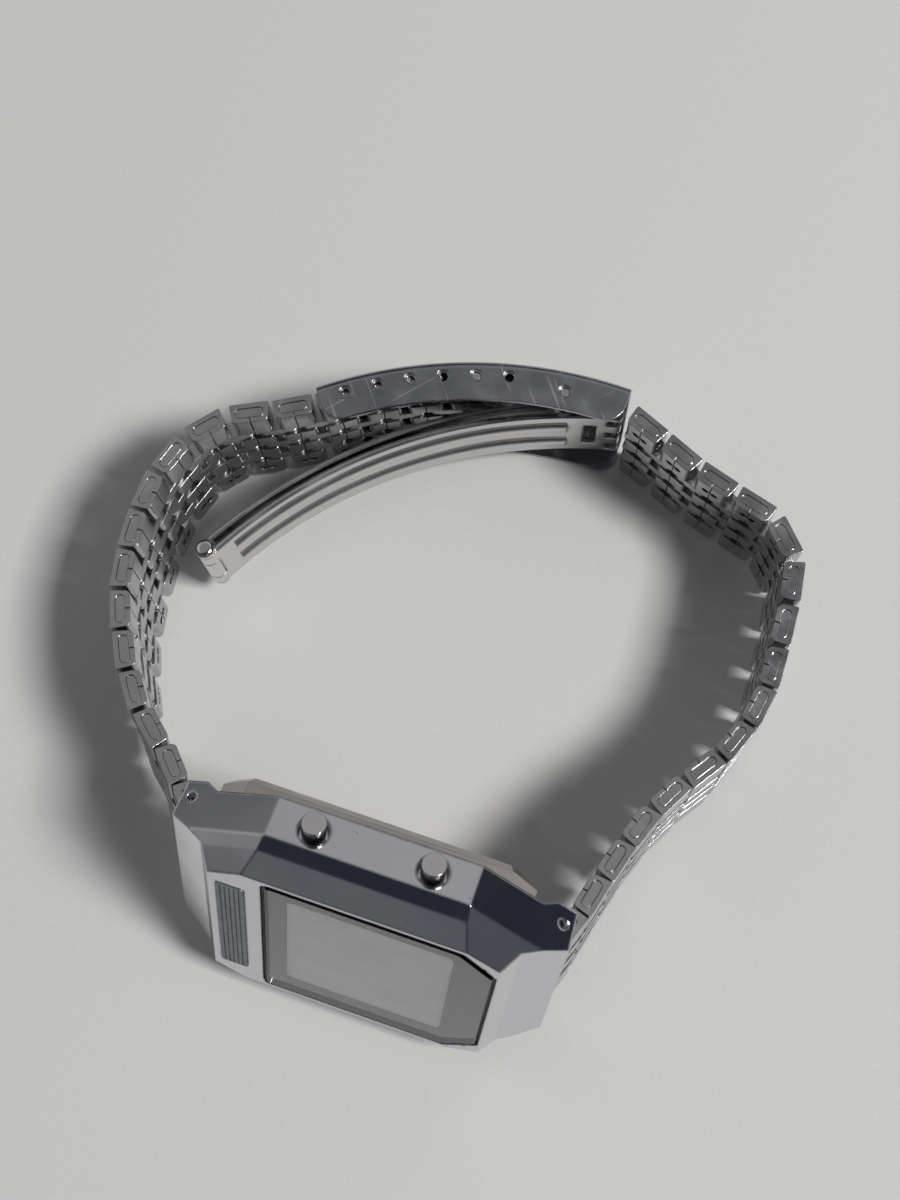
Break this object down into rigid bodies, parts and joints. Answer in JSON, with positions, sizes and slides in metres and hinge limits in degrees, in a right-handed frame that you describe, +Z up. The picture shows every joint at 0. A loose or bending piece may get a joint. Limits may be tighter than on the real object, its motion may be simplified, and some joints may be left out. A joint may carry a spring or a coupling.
{
  "type": "digital watch",
  "caption": "Steel digital wristwatch with a folded-link bracelet and folding clasp, closed in a loop and standing on its side",
  "frame": {"origin": "on the supporting surface, under the middle of the watch's bounding box", "axes": "+X from twelve o'clock to six o'clock along the case, +Y from the dial to the clasp, +Z up, towards three o'clock"},
  "size_m": [0.0654, 0.0666, 0.0345],
  "materials": {
    "polished_case": "polished, lightly scuffed",
    "brushed_back": "brushed",
    "crystal": "clear mineral crystal",
    "gasket": "matt",
    "mask": "printed dark border",
    "name_plate": "dark, grooved, bare",
    "display": "reflective liquid crystal panel",
    "contact_rubber": "layered contact rubber",
    "board": "printed circuit board",
    "module": "moulded",
    "cell_steel": "plain",
    "spring_steel": "plain",
    "satin_clasp": "satin, scratched",
    "blade": "plain sheet",
    "pins": "turned",
    "band": "brushed, folded"
  },
  "bodies": {
    "case": {"case_middle": "polished_case", "case_back": "brushed_back", "back_gasket": "gasket", "crystal": "crystal", "crystal_gasket": "gasket", "display_mask": "mask", "name_plate": "name_plate", "display_panel": "display", "contact_strips": "contact_rubber", "circuit_board": "board", "module_frame": "module", "button_cell": "cell_steel", "cell_strap": "cell_steel", "quartz_can": "cell_steel", "lug_spring_bars": "pins", "return_spring_twelve_side": "spring_steel", "return_spring_six_side": "spring_steel", "stem_seals": "gasket"},
    "twelve_button": {"button_twelve_side": "polished_case"},
    "six_button": {"button_six_side": "polished_case"},
    "twelve_band_end_link": {"twelve_band_end_link": "band"},
    "twelve_band_link_01": {"twelve_band_link_01": "band"},
    "twelve_band_link_02": {"twelve_band_link_02": "band"},
    "twelve_band_link_03": {"twelve_band_link_03": "band"},
    "twelve_band_link_04": {"twelve_band_link_04": "band"},
    "twelve_band_link_05": {"twelve_band_link_05": "band"},
    "twelve_band_link_06": {"twelve_band_link_06": "band"},
    "twelve_band_link_07": {"twelve_band_link_07": "band"},
    "twelve_band_link_08": {"twelve_band_link_08": "band"},
    "twelve_band_link_09": {"twelve_band_link_09": "band"},
    "twelve_band_link_10": {"twelve_band_link_10": "band"},
    "twelve_band_link_11": {"twelve_band_link_11": "band"},
    "twelve_band_link_12": {"twelve_band_link_12": "band"},
    "clasp": {"clasp_cover": "satin_clasp", "cover_hinge_pin": "pins", "adjusting_bar": "pins", "twelve_band_link_13": "band", "twelve_band_link_14": "band", "twelve_band_link_15": "band", "twelve_band_link_16": "band"},
    "outer_blade": {"outer_blade": "blade", "t_bar": "pins"},
    "inner_blade": {"inner_blade": "blade", "end_bar": "pins"},
    "six_band_end_link": {"six_band_end_link": "band"},
    "six_band_link_01": {"six_band_link_01": "band"},
    "six_band_link_02": {"six_band_link_02": "band"},
    "six_band_link_03": {"six_band_link_03": "band"},
    "six_band_link_04": {"six_band_link_04": "band"},
    "six_band_link_05": {"six_band_link_05": "band"},
    "six_band_link_06": {"six_band_link_06": "band"},
    "six_band_link_07": {"six_band_link_07": "band"},
    "six_band_link_08": {"six_band_link_08": "band"},
    "six_band_link_09": {"six_band_link_09": "band"},
    "six_band_link_10": {"six_band_link_10": "band"},
    "six_band_link_11": {"six_band_link_11": "band"},
    "six_band_link_12": {"six_band_link_12": "band"},
    "six_band_link_13": {"six_band_link_13": "band"},
    "six_band_link_14": {"six_band_link_14": "band"},
    "six_band_link_15": {"six_band_link_15": "band"}
  },
  "joints": [
    {"name": "twelve_button_press", "type": "slide", "parent": "case", "child": "twelve_button", "axis": [0, -0.342, -0.9397], "range_m": [0, 0.0005], "stiffness_N_per_m": 600, "springref_m": -0.001, "deforming": ["return_spring_twelve_side"]},
    {"name": "six_button_press", "type": "slide", "parent": "case", "child": "six_button", "axis": [0, -0.342, -0.9397], "range_m": [0, 0.0005], "stiffness_N_per_m": 600, "springref_m": -0.001, "deforming": ["return_spring_six_side"]},
    {"name": "twelve_band_end_hinge", "type": "hinge", "parent": "case", "child": "twelve_band_end_link", "pos_m": [-0.01511, -0.02272, 0.01624], "axis": [0, 0.3343, 0.9425], "range_deg": [0, 20]},
    {"name": "twelve_band_hinge_01", "type": "hinge", "parent": "twelve_band_end_link", "child": "twelve_band_link_01", "pos_m": [-0.01826, -0.01918, 0.01503], "axis": [-0.0123, 0.2942, 0.9557], "range_deg": [0, 2]},
    {"name": "twelve_band_hinge_02", "type": "hinge", "parent": "twelve_band_link_01", "child": "twelve_band_link_02", "pos_m": [-0.02132, -0.01617, 0.01409], "axis": [-0.0215, 0.2556, 0.9666], "range_deg": [0, 2]},
    {"name": "twelve_band_hinge_03", "type": "hinge", "parent": "twelve_band_link_02", "child": "twelve_band_link_03", "pos_m": [-0.02441, -0.01319, 0.01324], "axis": [-0.0374, 0.2249, 0.9737], "range_deg": [0, 15.4]},
    {"name": "twelve_band_hinge_04", "type": "hinge", "parent": "twelve_band_link_03", "child": "twelve_band_link_04", "pos_m": [-0.02684, -0.00965, 0.01236], "axis": [-0.0509, 0.1932, 0.9798], "range_deg": [0, 11.4]},
    {"name": "twelve_band_hinge_05", "type": "hinge", "parent": "twelve_band_link_04", "child": "twelve_band_link_05", "pos_m": [-0.02878, -0.00579, 0.01153], "axis": [-0.0602, 0.1602, 0.9853], "range_deg": [0, 7.9]},
    {"name": "twelve_band_hinge_06", "type": "hinge", "parent": "twelve_band_link_05", "child": "twelve_band_link_06", "pos_m": [-0.03024, -0.00172, 0.01081], "axis": [-0.0679, 0.1351, 0.9885], "range_deg": [0, 14.4]},
    {"name": "twelve_band_hinge_07", "type": "hinge", "parent": "twelve_band_link_06", "child": "twelve_band_link_07", "pos_m": [-0.03096, 0.00256, 0.01021], "axis": [-0.069, 0.1048, 0.9921], "range_deg": [0, 9.4]},
    {"name": "twelve_band_hinge_08", "type": "hinge", "parent": "twelve_band_link_07", "child": "twelve_band_link_08", "pos_m": [-0.03117, 0.00692, 0.00977], "axis": [-0.0652, 0.0752, 0.995], "range_deg": [0, 10.4]},
    {"name": "twelve_band_hinge_09", "type": "hinge", "parent": "twelve_band_link_08", "child": "twelve_band_link_09", "pos_m": [-0.03063, 0.01126, 0.0095], "axis": [-0.0545, 0.0531, 0.9971], "range_deg": [0, 18.9]},
    {"name": "twelve_band_hinge_10", "type": "hinge", "parent": "twelve_band_link_09", "child": "twelve_band_link_10", "pos_m": [-0.0288, 0.01523, 0.00937], "axis": [-0.0352, 0.0649, 0.9973], "range_deg": [0, 24.9]},
    {"name": "twelve_band_hinge_11", "type": "hinge", "parent": "twelve_band_link_10", "child": "twelve_band_link_11", "pos_m": [-0.0256, 0.0182, 0.00926], "axis": [-0.0143, 0.064, 0.9978], "range_deg": [0, 26.4]},
    {"name": "twelve_band_hinge_12", "type": "hinge", "parent": "twelve_band_link_11", "child": "twelve_band_link_12", "pos_m": [-0.02169, 0.0202, 0.00919], "axis": [-0.0083, 0.0494, 0.9987], "range_deg": [0, 2]},
    {"name": "clasp_hinge", "type": "hinge", "parent": "twelve_band_link_12", "child": "clasp", "pos_m": [-0.01795, 0.02249, 0.00911], "axis": [0, 0.0349, 0.9994], "range_deg": [0, 5]},
    {"name": "outer_blade_hinge", "type": "hinge", "parent": "clasp", "child": "outer_blade", "pos_m": [0.00422, 0.03051, 0.00883], "axis": [0, 0.0349, 0.9994], "range_deg": [-7, 6]},
    {"name": "inner_blade_hinge", "type": "hinge", "parent": "outer_blade", "child": "inner_blade", "pos_m": [-0.02473, 0.00484, 0.00973], "axis": [0, -0.0349, -0.9994], "range_deg": [0, 60]},
    {"name": "six_band_end_hinge", "type": "hinge", "parent": "case", "child": "six_band_end_link", "pos_m": [0.02009, -0.02272, 0.01624], "axis": [0, -0.3326, -0.9431], "range_deg": [0, 20]},
    {"name": "six_band_hinge_01", "type": "hinge", "parent": "six_band_end_link", "child": "six_band_link_01", "pos_m": [0.02156, -0.01831, 0.01474], "axis": [0, -0.2954, -0.9554], "range_deg": [0, 8.5]},
    {"name": "six_band_hinge_02", "type": "hinge", "parent": "six_band_link_01", "child": "six_band_link_02", "pos_m": [0.02262, -0.01422, 0.01353], "axis": [0, -0.2593, -0.9658], "range_deg": [0, 2]},
    {"name": "six_band_hinge_03", "type": "hinge", "parent": "six_band_link_02", "child": "six_band_link_03", "pos_m": [0.02384, -0.01014, 0.01248], "axis": [0, -0.2235, -0.9747], "range_deg": [0, 2]},
    {"name": "six_band_hinge_04", "type": "hinge", "parent": "six_band_link_03", "child": "six_band_link_04", "pos_m": [0.02548, -0.00617, 0.01161], "axis": [0, -0.1889, -0.982], "range_deg": [0, 2]},
    {"name": "six_band_hinge_05", "type": "hinge", "parent": "six_band_link_04", "child": "six_band_link_05", "pos_m": [0.02764, -0.00241, 0.01092], "axis": [0, -0.1562, -0.9877], "range_deg": [0, 2]},
    {"name": "six_band_hinge_06", "type": "hinge", "parent": "six_band_link_05", "child": "six_band_link_06", "pos_m": [0.02986, 0.00133, 0.01037], "axis": [0, -0.1223, -0.9925], "range_deg": [0, 15.5]},
    {"name": "six_band_hinge_07", "type": "hinge", "parent": "six_band_link_06", "child": "six_band_link_07", "pos_m": [0.03122, 0.00547, 0.0099], "axis": [0, -0.0853, -0.9964], "range_deg": [0, 14.5]},
    {"name": "six_band_hinge_08", "type": "hinge", "parent": "six_band_link_07", "child": "six_band_link_08", "pos_m": [0.03171, 0.00982, 0.00958], "axis": [0, -0.0469, -0.9989], "range_deg": [0, 15]},
    {"name": "six_band_hinge_09", "type": "hinge", "parent": "six_band_link_08", "child": "six_band_link_09", "pos_m": [0.03151, 0.0142, 0.0094], "axis": [0, -0.0349, -0.9994], "range_deg": [0, 4.5]},
    {"name": "six_band_hinge_10", "type": "hinge", "parent": "six_band_link_09", "child": "six_band_link_10", "pos_m": [0.0311, 0.01857, 0.00925], "axis": [0, -0.0349, -0.9994], "range_deg": [0, 8.5]},
    {"name": "six_band_hinge_11", "type": "hinge", "parent": "six_band_link_10", "child": "six_band_link_11", "pos_m": [0.02968, 0.02267, 0.00911], "axis": [0, -0.0349, -0.9994], "range_deg": [0, 37.5]},
    {"name": "six_band_hinge_12", "type": "hinge", "parent": "six_band_link_11", "child": "six_band_link_12", "pos_m": [0.02623, 0.02531, 0.00901], "axis": [0, -0.0349, -0.9994], "range_deg": [0, 34]},
    {"name": "six_band_hinge_13", "type": "hinge", "parent": "six_band_link_12", "child": "six_band_link_13", "pos_m": [0.022, 0.02649, 0.00897], "axis": [0, -0.0349, -0.9994], "range_deg": [0, 2]},
    {"name": "six_band_hinge_14", "type": "hinge", "parent": "six_band_link_13", "child": "six_band_link_14", "pos_m": [0.01784, 0.02789, 0.00893], "axis": [0, -0.0349, -0.9994], "range_deg": [0, 2]},
    {"name": "six_band_hinge_15", "type": "hinge", "parent": "six_band_link_14", "child": "six_band_link_15", "pos_m": [0.0138, 0.0296, 0.00886], "axis": [0, -0.0349, -0.9994], "range_deg": [0, 3.5]}
  ]
}
